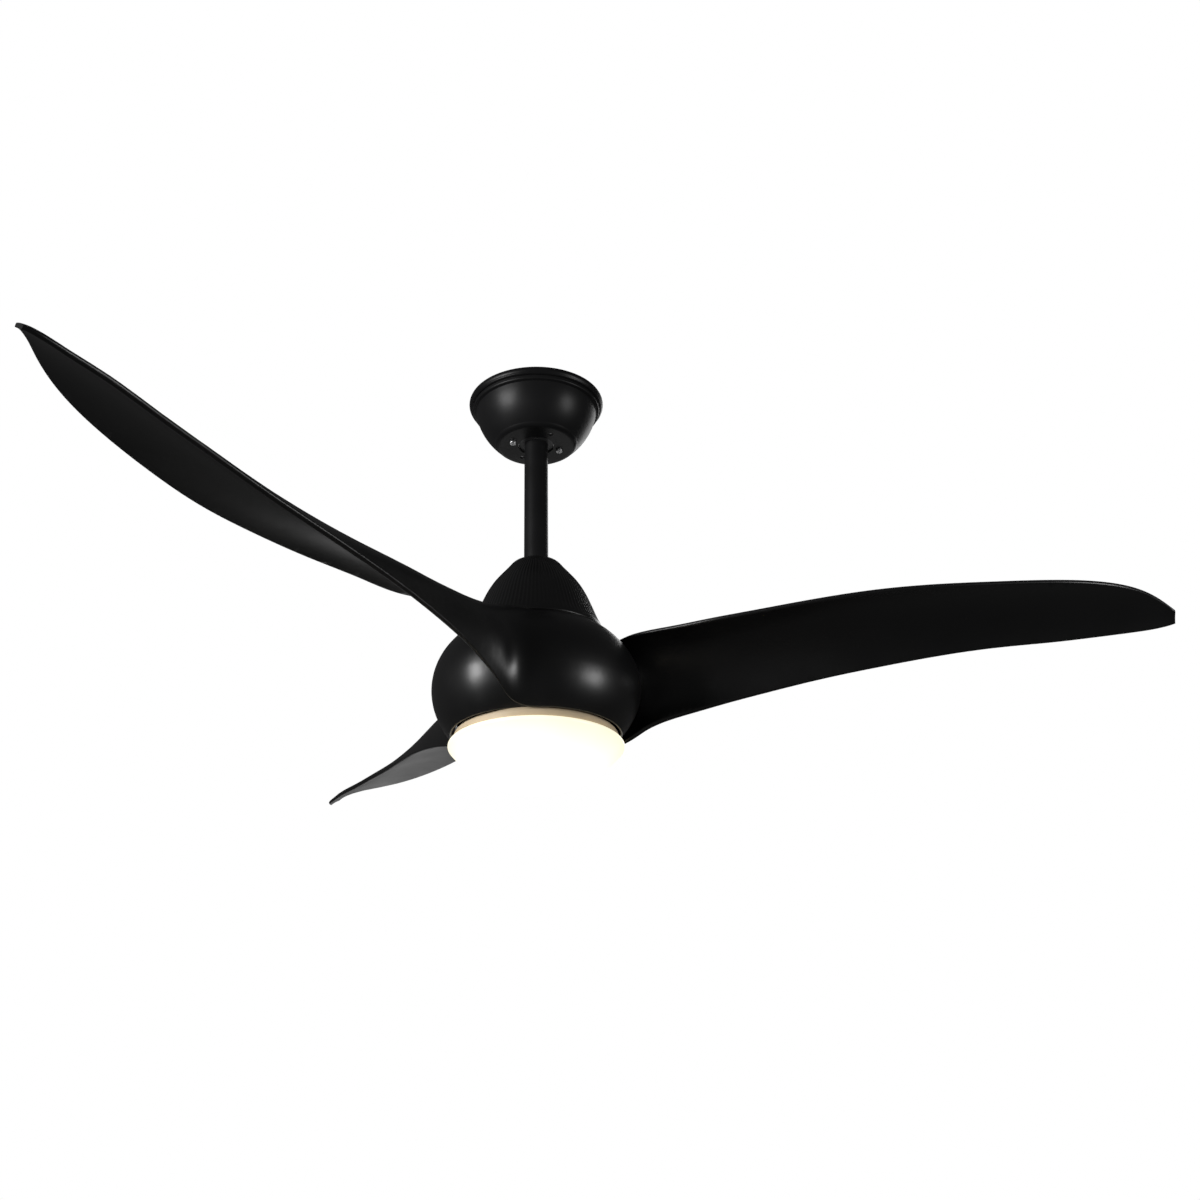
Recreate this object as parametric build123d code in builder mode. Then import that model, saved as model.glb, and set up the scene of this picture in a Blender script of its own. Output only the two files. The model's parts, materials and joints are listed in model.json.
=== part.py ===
from build123d import *
import math
import os

os.makedirs("parts", exist_ok=True)

# A ceiling fan on a short downrod, with a light in its bottom. All sizes are in mm.
# +Z is up, the origin is the centre of the ceiling face, and everything hangs below it.

# ---------------------------------------------------------------- driving dimensions
CANOPY_R = 75.0            # canopy trim ring, outer radius
CANOPY_DEPTH = 55.5        # ceiling to the canopy's flat bottom
CANOPY_HOLE_R = 19.8       # opening that the rod comes through
SHEET = 1.2                # sheet metal of canopy and light pan

BALL_R = 24.0              # hanger ball
BALL_Z = -40.0             # centre of the hanger ball, the tilt axis
ROD_R = 13.0               # 26 mm downrod
ROD_BORE_R = 11.0
ROD_TOP_Z = -32.0
ROD_BOTTOM_Z = -238.0

CONE_TOP_Z = -203.0        # ribbed cone over the coupling
CONE_BOTTOM_Z = -287.5
CONE_BOTTOM_R = 71.0

BOWL_LIP_R = 74.0          # top opening of the bowl that the three petals form
BOWL_LIP_Z = -292.0
BOWL_RIM_R = 89.0          # bottom opening of the bowl
BOWL_RIM_Z = -395.0
BOWL_WALL = 4.0
BOWL_BOW = 0.253           # height of a rib's arc over its chord

BLADE_COUNT = 3
BLADE_AZIMUTH = -14.4      # direction of the first blade's straight axis
BLADE_THICK = 5.5

SHAFT_R = 10.0             # motor shaft and its bore for the leads
SHAFT_BORE_R = 7.8
SHAFT_SHOULDER_R = 12.0
ROTOR_TOP_Z = -304.0       # motor body
ROTOR_BOTTOM_Z = -358.0
ROTOR_R = 72.0
STATOR_R = 60.0
BEARING_R = 21.0           # 20 x 42 x 12 ball bearings
BEARING_H = 12.0
RUNNING_FIT = 0.05         # radial clearance of a running fit
SLIP = 0.05                # radial clearance of a slip fit
M4_R = 2.0                 # machine screws
M4_HOLE_R = 2.1
M4_HEAD_R = 3.5
M4_HEAD_H = 2.4
M3_R = 1.5
M3_HOLE_R = 1.6
BOARD_T = 1.6              # circuit boards

PLATE_Z = -370.0           # light plate, under the rotor
PAN_Z = -395.0             # top of the light pan
PAN_R = 83.5
PAN_RIM_Z = -411.0
DOME_R = 89.2              # opal dome
DOME_TOP_Z = -407.0
DOME_BOTTOM_Z = -453.0
DOME_WALL = 2.5


def write(part, name):
    """Labels a finished piece and writes it under its node name."""
    part.label = name
    export_step(part, f"parts/{name}.step")


def polar(radius, angle, height):
    """A point given by radius, angle in degrees and height."""
    return Vector(radius * math.cos(math.radians(angle)), radius * math.sin(math.radians(angle)), height)


# ---------------------------------------------------------------- ceiling mount
SLOT_SPACING = 88.9        # ceiling box screws, 3.5 in apart
SLOT_WIDTH = 5.6
SLOT_LENGTH = 14.0
STRAP_T = 2.0
STRAP_HALF = 14.0          # half the strap's width
STRAP_LENGTH = 120.0
LEG_X = 34.0               # middle of each leg's thickness
CANOPY_FLOOR_Z = -CANOPY_DEPTH + SHEET
SEAT_BOTTOM_Z = CANOPY_FLOOR_Z
SEAT_TOP_Z = SEAT_BOTTOM_Z + STRAP_T
SEAT_R = 37.0
CANOPY_SCREW_R = 27.0      # the canopy's two screws, and two spare holes
CANOPY_HEAD_R = 3.7
CANOPY_HEAD_H = 2.2
CANOPY_SCREW_AZIMUTH = 18.0
SPARE_HOLE_AZIMUTH = -57.0
RECEIVER_TOP_Z = -5.0
RECEIVER_BOTTOM_Z = -21.0
RECEIVER_L = 58.0
RECEIVER_W = 26.0
RECEIVER_WALL = 1.5
RECEIVER_BASE_H = 12.0

with BuildPart() as hanger_bracket:
    with BuildSketch(Plane.XY.offset(-STRAP_T)):
        RectangleRounded(STRAP_LENGTH, 2 * STRAP_HALF, 6)
        with GridLocations(SLOT_SPACING, 1, 2, 1):
            SlotOverall(SLOT_LENGTH, SLOT_WIDTH, mode=Mode.SUBTRACT)
    extrude(amount=STRAP_T)
    with BuildSketch(Plane.XY.offset(SEAT_BOTTOM_Z)):
        with Locations((-LEG_X, 0), (LEG_X, 0)):
            Rectangle(STRAP_T, 2 * STRAP_HALF)
    extrude(amount=-SEAT_BOTTOM_Z)
    with BuildSketch(Plane.XY.offset(SEAT_BOTTOM_Z)):
        Circle(SEAT_R)
    extrude(amount=STRAP_T)
    # the seat is a slice of the ball's own sphere, open on one side so that the rod slides in
    with Locations((0, 0, BALL_Z)):
        Sphere(BALL_R + RUNNING_FIT, mode=Mode.SUBTRACT)
    with Locations((0, SEAT_R, SEAT_BOTTOM_Z)):
        Box(2 * ROD_R + 2, 2 * SEAT_R - 8, 2 * STRAP_T + 2, mode=Mode.SUBTRACT)
    # key that stops the ball from turning
    with Locations((0, -(BALL_R - 1.0), SEAT_TOP_Z + 1.0)):
        Box(4, 5, 2 * STRAP_T + 1)
    # shelves under the receiver
    for side in (-1, 1):
        with Locations((side * (LEG_X - 4), 0, RECEIVER_BOTTOM_Z - STRAP_T / 2)):
            Box(8, 2 * STRAP_HALF, STRAP_T)
    # holes for the canopy screws
    with BuildSketch(Plane.XY.offset(SEAT_BOTTOM_Z)):
        with PolarLocations(CANOPY_SCREW_R, 2, start_angle=CANOPY_SCREW_AZIMUTH):
            Circle(2.0)
    extrude(amount=STRAP_T, mode=Mode.SUBTRACT)
write(hanger_bracket.part, "hanger_bracket")

CANOPY_TOP_Z = -0.5
BAND_R = 71.0              # the canopy's own band, inside and below the trim ring
BAND_BOTTOM_Z = -11.0
NECK_R = 67.5              # top of the bell, under the band's step
NECK_Z = -13.6
FLOOR_R = 40.0             # flat bottom
BELL_R = 46.0              # foot of the bell, where it turns into the flat bottom
BELL_Z = -52.0

with BuildPart() as canopy:
    with BuildSketch(Plane.XZ):
        with BuildLine():
            Line((BAND_R - SHEET, CANOPY_TOP_Z), (BAND_R, CANOPY_TOP_Z))
            Line((BAND_R, CANOPY_TOP_Z), (BAND_R, BAND_BOTTOM_Z))
            TangentArc((BAND_R, BAND_BOTTOM_Z), (BAND_R - 2, BAND_BOTTOM_Z - 2), tangent=(0, -1))
            Line((BAND_R - 2, BAND_BOTTOM_Z - 2), (NECK_R, NECK_Z))
            ThreePointArc((NECK_R, NECK_Z), (60, -34), (BELL_R, BELL_Z))
            ThreePointArc((BELL_R, BELL_Z), (43.2, -54.6), (FLOOR_R, -CANOPY_DEPTH))
            Line((FLOOR_R, -CANOPY_DEPTH), (CANOPY_HOLE_R, -CANOPY_DEPTH))
            Line((CANOPY_HOLE_R, -CANOPY_DEPTH), (CANOPY_HOLE_R, CANOPY_FLOOR_Z))
            Line((CANOPY_HOLE_R, CANOPY_FLOOR_Z), (FLOOR_R - 0.4, CANOPY_FLOOR_Z))
            ThreePointArc((FLOOR_R - 0.4, CANOPY_FLOOR_Z), (42.4, -53.6), (BELL_R - 1, BELL_Z + 0.8))
            ThreePointArc((BELL_R - 1, BELL_Z + 0.8), (59, -33.4), (NECK_R - SHEET, NECK_Z + 1))
            Line((NECK_R - SHEET, NECK_Z + 1), (BAND_R - SHEET, BAND_BOTTOM_Z - 0.8))
            Line((BAND_R - SHEET, BAND_BOTTOM_Z - 0.8), (BAND_R - SHEET, CANOPY_TOP_Z))
        make_face()
    revolve(axis=Axis.Z)
    with BuildSketch(Plane.XY.offset(-CANOPY_DEPTH)):
        with PolarLocations(CANOPY_SCREW_R, 2, start_angle=CANOPY_SCREW_AZIMUTH):
            Circle(2.2)
        with PolarLocations(CANOPY_SCREW_R + 2, 2, start_angle=SPARE_HOLE_AZIMUTH):
            Circle(2.6)
    extrude(amount=SHEET, mode=Mode.SUBTRACT)
write(canopy.part, "canopy")

RING_GAP = 0.1
RING_LOW_Z = -8.6
with BuildPart() as canopy_ring:
    with BuildSketch(Plane.XZ):
        with BuildLine():
            Line((BAND_R + RING_GAP, CANOPY_TOP_Z), (CANOPY_R - 0.6, CANOPY_TOP_Z))
            ThreePointArc((CANOPY_R - 0.6, CANOPY_TOP_Z), (CANOPY_R + 0.2, -3.5), (CANOPY_R - 1.2, -7))
            ThreePointArc((CANOPY_R - 1.2, -7), (CANOPY_R - 2.2, -8.2), (BAND_R + RING_GAP, RING_LOW_Z))
            Line((BAND_R + RING_GAP, RING_LOW_Z), (BAND_R + RING_GAP, CANOPY_TOP_Z))
        make_face()
    revolve(axis=Axis.Z)
write(canopy_ring.part, "canopy_ring")

CROSS_L = 4.4              # cross recess in a screw's head
CROSS_W = 0.9
with BuildPart() as canopy_screws:
    with BuildSketch(Plane.XY.offset(-CANOPY_DEPTH)):
        with PolarLocations(CANOPY_SCREW_R, 2, start_angle=CANOPY_SCREW_AZIMUTH):
            Circle(CANOPY_HEAD_R)
    extrude(amount=-CANOPY_HEAD_H)
    fillet(canopy_screws.edges().group_by(Axis.Z)[0], 0.9)
    with BuildSketch(Plane.XY.offset(-CANOPY_DEPTH)):
        with PolarLocations(CANOPY_SCREW_R, 2, start_angle=CANOPY_SCREW_AZIMUTH):
            Circle(1.9)
    extrude(amount=7)
    with BuildSketch(Plane.XY.offset(-CANOPY_DEPTH - CANOPY_HEAD_H)):
        with PolarLocations(CANOPY_SCREW_R, 2, start_angle=CANOPY_SCREW_AZIMUTH):
            Rectangle(CROSS_L, CROSS_W)
            Rectangle(CROSS_W, CROSS_L)
    extrude(amount=CANOPY_HEAD_H / 2, mode=Mode.SUBTRACT)
write(canopy_screws.part, "canopy_screws")

with BuildPart() as receiver_base:
    with BuildSketch(Plane.XY.offset(RECEIVER_BOTTOM_Z)):
        RectangleRounded(RECEIVER_L, RECEIVER_W, 3)
    extrude(amount=RECEIVER_BASE_H)
    with BuildSketch(Plane.XY.offset(RECEIVER_BOTTOM_Z + RECEIVER_WALL)):
        RectangleRounded(RECEIVER_L - 2 * RECEIVER_WALL, RECEIVER_W - 2 * RECEIVER_WALL, 1.5)
    extrude(amount=RECEIVER_BASE_H, mode=Mode.SUBTRACT)
write(receiver_base.part, "receiver_base")

with BuildPart() as receiver_lid:
    with BuildSketch(Plane.XY.offset(RECEIVER_BOTTOM_Z + RECEIVER_BASE_H)):
        RectangleRounded(RECEIVER_L, RECEIVER_W, 3)
    extrude(amount=RECEIVER_TOP_Z - RECEIVER_BOTTOM_Z - RECEIVER_BASE_H)
    fillet(receiver_lid.edges().group_by(Axis.Z)[-1], 1)
    with BuildSketch(Plane.XY.offset(RECEIVER_BOTTOM_Z + RECEIVER_BASE_H)):
        RectangleRounded(RECEIVER_L - 2 * RECEIVER_WALL, RECEIVER_W - 2 * RECEIVER_WALL, 1.5)
    extrude(amount=2, mode=Mode.SUBTRACT)
write(receiver_lid.part, "receiver_lid")

with BuildPart() as receiver_board:
    with BuildSketch(Plane.XY.offset(RECEIVER_BOTTOM_Z + 4)):
        Rectangle(RECEIVER_L - 5, RECEIVER_W - 5)
    extrude(amount=BOARD_T)
    with BuildSketch(Plane.XY.offset(RECEIVER_BOTTOM_Z + 4 + BOARD_T)):
        with Locations((-16, 3), (-2, -3), (12, 2)):
            Rectangle(9, 9)
        with Locations((22, -4)):
            Circle(3)
    extrude(amount=4)
write(receiver_board.part, "receiver_board")

# ---------------------------------------------------------------- hanger ball and downrod
BALL_TOP_Z = BALL_Z + 6
BALL_BOTTOM_Z = BALL_Z - 14
PIN_R = 2.5
GROOVE_R = 20.0            # depth of the ball's key groove, as a radius

with BuildPart() as hanger_ball:
    with Locations((0, 0, BALL_Z)):
        Sphere(BALL_R)
    split(bisect_by=Plane.XY.offset(BALL_TOP_Z), keep=Keep.BOTTOM)
    split(bisect_by=Plane.XY.offset(BALL_BOTTOM_Z), keep=Keep.TOP)
    with BuildSketch(Plane.XY.offset(BALL_BOTTOM_Z - 1)):
        Circle(ROD_R + SLIP)
    extrude(amount=BALL_TOP_Z - BALL_BOTTOM_Z + 2, mode=Mode.SUBTRACT)
    # hole for the cross pin
    with BuildSketch(Plane.YZ.offset(-BALL_R)):
        with Locations((0, BALL_Z)):
            Circle(PIN_R + SLIP)
    extrude(amount=2 * BALL_R, mode=Mode.SUBTRACT)
    # groove round the back for the bracket's key
    with BuildSketch(Plane.YZ.offset(-2.5)):
        with BuildLine():
            ThreePointArc((-GROOVE_R, BALL_Z), (-14.2, BALL_Z - 14.1), (0, BALL_Z - GROOVE_R))
            Line((0, BALL_Z - GROOVE_R), (0, BALL_Z - BALL_R - 1))
            Line((0, BALL_Z - BALL_R - 1), (-BALL_R - 1, BALL_Z - BALL_R - 1))
            Line((-BALL_R - 1, BALL_Z - BALL_R - 1), (-BALL_R - 1, BALL_TOP_Z + 1))
            Line((-BALL_R - 1, BALL_TOP_Z + 1), (-GROOVE_R, BALL_TOP_Z + 1))
            Line((-GROOVE_R, BALL_TOP_Z + 1), (-GROOVE_R, BALL_Z))
        make_face()
    extrude(amount=5, mode=Mode.SUBTRACT)
    # threaded hole for the set screw
    with BuildSketch(Plane.XZ.offset(-BALL_R)):
        with Locations((0, BALL_Z - 7)):
            Circle(PIN_R + SLIP)
    extrude(amount=BALL_R, mode=Mode.SUBTRACT)
write(hanger_ball.part, "hanger_ball")

with BuildPart() as ball_pin:
    with BuildSketch(Plane.YZ.offset(-21.5)):
        with Locations((0, BALL_Z)):
            Circle(PIN_R)
    extrude(amount=43)
    chamfer(ball_pin.edges().filter_by(GeomType.CIRCLE), 0.5)
write(ball_pin.part, "ball_pin")

with BuildPart() as ball_screw:
    with BuildSketch(Plane.XZ.offset(-ROD_R - 8)):
        with Locations((0, BALL_Z - 7)):
            Circle(PIN_R)
            RegularPolygon(1.3, 6, mode=Mode.SUBTRACT)
    extrude(amount=4)
    with BuildSketch(Plane.XZ.offset(-ROD_R - 4)):
        with Locations((0, BALL_Z - 7)):
            Circle(PIN_R)
    extrude(amount=4 - SLIP)
write(ball_screw.part, "ball_screw")

CLEVIS_Z = -226.0
with BuildPart() as downrod:
    with BuildSketch(Plane.XY.offset(ROD_BOTTOM_Z)):
        Circle(ROD_R)
        Circle(ROD_BORE_R, mode=Mode.SUBTRACT)
    extrude(amount=ROD_TOP_Z - ROD_BOTTOM_Z)
    with BuildSketch(Plane.YZ.offset(-ROD_R - 1)):
        with Locations((0, BALL_Z), (0, CLEVIS_Z)):
            Circle(PIN_R + SLIP)
    extrude(amount=2 * ROD_R + 2, mode=Mode.SUBTRACT)
write(downrod.part, "downrod")

# the leads run beside the pins, straight down the rod and the hollow shaft, then turn to the driver
LEAD_R = 2.4
LEAD_Y = 5.2
LEAD_BEND_R = 8.0
SHAFT_BOTTOM_Z = -378.0
DRIVER_X = 19.0            # near face of the driver case
PLUG_BOTTOM_Z = -31.0
PLUG_TOP_Z = -26.5
LEAD_LOW_Z = SHAFT_BOTTOM_Z - LEAD_BEND_R
with BuildPart() as wiring_harness:
    with BuildLine():
        Line((0, LEAD_Y, PLUG_BOTTOM_Z), (0, LEAD_Y, SHAFT_BOTTOM_Z))
        TangentArc((0, LEAD_Y, SHAFT_BOTTOM_Z), (LEAD_BEND_R, LEAD_Y, LEAD_LOW_Z), tangent=(0, 0, -1))
        Line((LEAD_BEND_R, LEAD_Y, LEAD_LOW_Z), (DRIVER_X, LEAD_Y, LEAD_LOW_Z))
    with BuildSketch(Plane.XY.offset(PLUG_BOTTOM_Z)):
        with Locations((0, LEAD_Y)):
            Circle(LEAD_R)
    sweep()
write(wiring_harness.part, "wiring_harness")

with BuildPart() as harness_plug:
    with BuildSketch(Plane.XY.offset(PLUG_BOTTOM_Z)):
        with Locations((0, LEAD_Y)):
            RectangleRounded(13, 6.4, 1)
    extrude(amount=PLUG_TOP_Z - PLUG_BOTTOM_Z)
    with BuildSketch(Plane.XY.offset(PLUG_TOP_Z)):
        with Locations((0, LEAD_Y)):
            with GridLocations(4, 1, 3, 1):
                Rectangle(2.2, 2.2)
    extrude(amount=-3, mode=Mode.SUBTRACT)
write(harness_plug.part, "harness_plug")

# ---------------------------------------------------------------- motor coupling and cone
COUPLING_R = 17.5
COUPLING_TOP_Z = -216.0
COUPLING_BOTTOM_Z = -262.0
COUPLING_STEP_Z = ROD_BOTTOM_Z - 0.5
FLANGE_R = 38.0
FLANGE_T = 4.0
COVER_SCREW_R = 32.0
SET_SCREW_Z = -250.0

with BuildPart() as motor_coupling:
    with BuildSketch(Plane.XZ):
        with BuildLine():
            Polyline(
                (ROD_R + SLIP, COUPLING_TOP_Z),
                (COUPLING_R, COUPLING_TOP_Z),
                (COUPLING_R, COUPLING_BOTTOM_Z + FLANGE_T),
                (FLANGE_R, COUPLING_BOTTOM_Z + FLANGE_T),
                (FLANGE_R, COUPLING_BOTTOM_Z),
                (SHAFT_R + SLIP, COUPLING_BOTTOM_Z),
                (SHAFT_R + SLIP, COUPLING_STEP_Z),
                (ROD_R + SLIP, COUPLING_STEP_Z),
                close=True,
            )
        make_face()
    revolve(axis=Axis.Z)
    with BuildSketch(Plane.YZ.offset(-COUPLING_R - 1)):
        with Locations((0, CLEVIS_Z)):
            Circle(PIN_R + SLIP)
    extrude(amount=2 * COUPLING_R + 2, mode=Mode.SUBTRACT)
    with BuildSketch(Plane.XZ.offset(-COUPLING_R - 1)):
        with Locations((0, SET_SCREW_Z)):
            Circle(PIN_R + SLIP)
    extrude(amount=2 * COUPLING_R + 2, mode=Mode.SUBTRACT)
    with BuildSketch(Plane.XY.offset(COUPLING_BOTTOM_Z)):
        with PolarLocations(COVER_SCREW_R, 3):
            Circle(M4_HOLE_R)
    extrude(amount=FLANGE_T, mode=Mode.SUBTRACT)
write(motor_coupling.part, "motor_coupling")

with BuildPart() as clevis_pin:
    with BuildSketch(Plane.YZ.offset(-COUPLING_R)):
        with Locations((0, CLEVIS_Z)):
            Circle(PIN_R)
    extrude(amount=2 * COUPLING_R + 6)
    with BuildSketch(Plane.YZ.offset(-COUPLING_R - 2)):
        with Locations((0, CLEVIS_Z)):
            Circle(4)
    extrude(amount=2)
    with BuildSketch(Plane.XY.offset(CLEVIS_Z - 5)):
        with Locations((COUPLING_R + 3, 0)):
            Circle(0.9)
    extrude(amount=10, mode=Mode.SUBTRACT)
write(clevis_pin.part, "clevis_pin")

# hairpin clip: a straight leg through the pin and a leg that hugs the pin's side
CLIP_R = 0.8
CLIP_X = COUPLING_R + 3
with BuildPart() as clevis_clip:
    with BuildLine():
        Line((CLIP_X, 0, CLEVIS_Z - 7), (CLIP_X, 0, CLEVIS_Z + 6))
        TangentArc((CLIP_X, 0, CLEVIS_Z + 6), (CLIP_X, 5, CLEVIS_Z + 6), tangent=(0, 0, 1))
        Line((CLIP_X, 5, CLEVIS_Z + 6), (CLIP_X, 5, CLEVIS_Z - 5))
    with BuildSketch(Plane.XY.offset(CLEVIS_Z - 7)):
        with Locations((CLIP_X, 0)):
            Circle(CLIP_R)
    sweep()
write(clevis_clip.part, "clevis_clip")

with BuildPart() as coupling_screws:
    with BuildSketch(Plane.XZ.offset(SHAFT_R + SLIP), Plane.XZ.offset(-COUPLING_R)):
        with Locations((0, SET_SCREW_Z)):
            Circle(PIN_R)
    extrude(amount=COUPLING_R - SHAFT_R - SLIP)
write(coupling_screws.part, "coupling_screws")

WEB_BOTTOM_Z = COUPLING_BOTTOM_Z + FLANGE_T
WEB_T = 4.0
CONE_WALL = 2.5
CONE_SHOULDER_R = 20.0
CONE_HOLE_R = ROD_R + 0.6
CONE_SIDE = ((29.5, -209.5), (45.5, -229.5), (57, -251), (67.5, -277))    # radius and height
with BuildPart() as cone_cover:
    with BuildSketch(Plane.XZ):
        with BuildLine():
            Line((CONE_HOLE_R, CONE_TOP_Z), (CONE_SHOULDER_R, CONE_TOP_Z))
            Spline((CONE_SHOULDER_R, CONE_TOP_Z), *CONE_SIDE, (CONE_BOTTOM_R, CONE_BOTTOM_Z),
                   tangents=((1, -0.05), (0.18, -1)))
            Line((CONE_BOTTOM_R, CONE_BOTTOM_Z), (CONE_BOTTOM_R - CONE_WALL, CONE_BOTTOM_Z))
            Line((CONE_BOTTOM_R - CONE_WALL, CONE_BOTTOM_Z), (64.5, -277))
            Line((64.5, -277), (56, WEB_BOTTOM_Z))
            Line((56, WEB_BOTTOM_Z), (COUPLING_R + 1, WEB_BOTTOM_Z))
            Line((COUPLING_R + 1, WEB_BOTTOM_Z), (COUPLING_R + 1, WEB_BOTTOM_Z + WEB_T))
            Line((COUPLING_R + 1, WEB_BOTTOM_Z + WEB_T), (54, WEB_BOTTOM_Z + WEB_T))
            Line((54, WEB_BOTTOM_Z + WEB_T), (43, -230.5))
            Line((43, -230.5), (28, -211.5))
            Line((28, -211.5), (CONE_HOLE_R, CONE_TOP_Z - CONE_WALL))
            Line((CONE_HOLE_R, CONE_TOP_Z - CONE_WALL), (CONE_HOLE_R, CONE_TOP_Z))
        make_face()
    revolve(axis=Axis.Z)
    with BuildSketch(Plane.XY.offset(WEB_BOTTOM_Z)):
        with PolarLocations(COVER_SCREW_R, 3):
            Circle(M4_HOLE_R)
    extrude(amount=WEB_T, mode=Mode.SUBTRACT)
write(cone_cover.part, "cone_cover")

with BuildPart() as cover_screws:
    with BuildSketch(Plane.XY.offset(COUPLING_BOTTOM_Z)):
        with PolarLocations(COVER_SCREW_R, 3):
            Circle(M4_HEAD_R)
    extrude(amount=-M4_HEAD_H)
    with BuildSketch(Plane.XY.offset(COUPLING_BOTTOM_Z)):
        with PolarLocations(COVER_SCREW_R, 3):
            Circle(M4_R)
    extrude(amount=FLANGE_T + WEB_T)
write(cover_screws.part, "cover_screws")

# ---------------------------------------------------------------- shaft, bearings and stator
UPPER_BEARING_Z = ROTOR_TOP_Z - 6 - BEARING_H          # bottom of the upper bearing
LOWER_BEARING_Z = ROTOR_BOTTOM_Z + 6                   # bottom of the lower bearing
STATOR_H = 18.0
STATOR_Z = (ROTOR_TOP_Z + ROTOR_BOTTOM_Z - STATOR_H) / 2
INNER_RACE_R = 13.5
OUTER_RACE_R = 17.5
BALL_PITCH_R = 15.5
ROLLER_R = 3.0
GROOVE_BALL_R = 3.15
BALLS_PER_BEARING = 9
NUT_TOP_Z = PLATE_Z - 2

with BuildPart() as motor_shaft:
    with BuildSketch(Plane.XY.offset(SHAFT_BOTTOM_Z)):
        Circle(SHAFT_R)
    extrude(amount=COUPLING_STEP_Z - 0.5 - SHAFT_BOTTOM_Z)
    with BuildSketch(Plane.XY.offset(LOWER_BEARING_Z + BEARING_H)):
        Circle(SHAFT_SHOULDER_R)
    extrude(amount=UPPER_BEARING_Z - LOWER_BEARING_Z - BEARING_H)
    with BuildSketch(Plane.XY.offset(SHAFT_BOTTOM_Z)):
        Circle(SHAFT_BORE_R)
    extrude(amount=COUPLING_STEP_Z - SHAFT_BOTTOM_Z, mode=Mode.SUBTRACT)
write(motor_shaft.part, "motor_shaft")


def race_sketch(inner_r, outer_r, bottom_z):
    """Half section of a bearing race, with the balls' groove cut in it."""
    with BuildSketch(Plane.XZ) as section:
        with Locations(((inner_r + outer_r) / 2, bottom_z + BEARING_H / 2)):
            Rectangle(outer_r - inner_r, BEARING_H)
        with Locations((BALL_PITCH_R, bottom_z + BEARING_H / 2)):
            Circle(GROOVE_BALL_R, mode=Mode.SUBTRACT)
    return section.sketch


for place, bottom in (("upper", UPPER_BEARING_Z), ("lower", LOWER_BEARING_Z)):
    with BuildPart() as inner_race:
        revolve(race_sketch(SHAFT_R + SLIP, INNER_RACE_R, bottom), axis=Axis.Z)
    write(inner_race.part, f"{place}_bearing_inner")

    with BuildPart() as outer_race:
        revolve(race_sketch(OUTER_RACE_R, BEARING_R, bottom), axis=Axis.Z)
    write(outer_race.part, f"{place}_bearing_outer")

    with BuildPart() as bearing_balls:
        with Locations((0, 0, bottom + BEARING_H / 2)):
            with PolarLocations(BALL_PITCH_R, BALLS_PER_BEARING):
                Sphere(ROLLER_R)
    write(bearing_balls.part, f"{place}_bearing_balls")

    # cage: a thin ring with a pocket for each ball
    with BuildPart() as bearing_cage:
        with BuildSketch(Plane.XY.offset(bottom + 1.5)):
            Circle(BALL_PITCH_R + 1)
            Circle(BALL_PITCH_R - 1, mode=Mode.SUBTRACT)
        extrude(amount=BEARING_H - 3)
        with Locations((0, 0, bottom + BEARING_H / 2)):
            with PolarLocations(BALL_PITCH_R, BALLS_PER_BEARING):
                Cylinder(ROLLER_R + 0.15, 6, rotation=(0, 90, 0), mode=Mode.SUBTRACT)
    write(bearing_cage.part, f"{place}_bearing_cage")

POLES = 12
NECK_IN_R = 33.0
NECK_OUT_R = 54.0
NECK_W = 8.0
COIL_W = 3.2               # thickness of the wire round a pole's neck
with BuildPart() as stator_core:
    with BuildSketch(Plane.XY.offset(STATOR_Z)):
        Circle(NECK_IN_R)
        with PolarLocations((NECK_IN_R + NECK_OUT_R) / 2, POLES):
            Rectangle(NECK_OUT_R - NECK_IN_R + 4, NECK_W)
        Circle(SHAFT_SHOULDER_R + SLIP, mode=Mode.SUBTRACT)
    extrude(amount=STATOR_H)
    with BuildSketch(Plane.XY.offset(STATOR_Z)):
        Circle(STATOR_R)
        Circle(NECK_OUT_R, mode=Mode.SUBTRACT)
        with PolarLocations(STATOR_R, POLES, start_angle=180 / POLES):
            Rectangle(3 * (STATOR_R - NECK_OUT_R), 3, mode=Mode.SUBTRACT)
    extrude(amount=STATOR_H)
write(stator_core.part, "stator_core")

with BuildPart() as stator_windings:
    for pole in range(POLES):
        turn = 360 * pole / POLES
        foot = polar(NECK_IN_R + 2, turn, STATOR_Z + STATOR_H / 2)
        side = Plane(origin=foot, x_dir=polar(1, turn + 90, 0), z_dir=polar(1, turn, 0))
        with BuildSketch(side):
            RectangleRounded(NECK_W + 2 * COIL_W, STATOR_H + 2 * COIL_W, 2)
            Rectangle(NECK_W + 2 * SLIP, STATOR_H + 2 * SLIP, mode=Mode.SUBTRACT)
        extrude(amount=NECK_OUT_R - NECK_IN_R - 3)
write(stator_windings.part, "stator_windings")

# ---------------------------------------------------------------- rotor
RING_IN_R = 64.5           # back iron
RING_WALL = 3.5
ROTOR_SCREWS = 6
ROTOR_LUG_T = 3.0
CAP_T = 5.0                # thickness of a shell's end
MAGNET_IN_R = 61.0
LUG_R = 84.0               # flange where the two shells meet
ROTOR_SCREW_R = 78.0
ROTOR_MID_Z = (ROTOR_TOP_Z + ROTOR_BOTTOM_Z) / 2
BLADE_SCREW_R = 56.0
BLADE_SCREW_ANGLES = (62, 90, 118)    # ahead of each blade's straight axis
BLADE_HEAD_R = 4.2
BLADE_HEAD_H = 3.0
HUB_HOLE_R = 14.5


def blade_screw_place(blade_number, angle):
    """Where a blade's screw stands, at an angle ahead of that blade's straight axis."""
    return polar(BLADE_SCREW_R, BLADE_AZIMUTH + 360 / BLADE_COUNT * blade_number + angle, 0)


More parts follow.
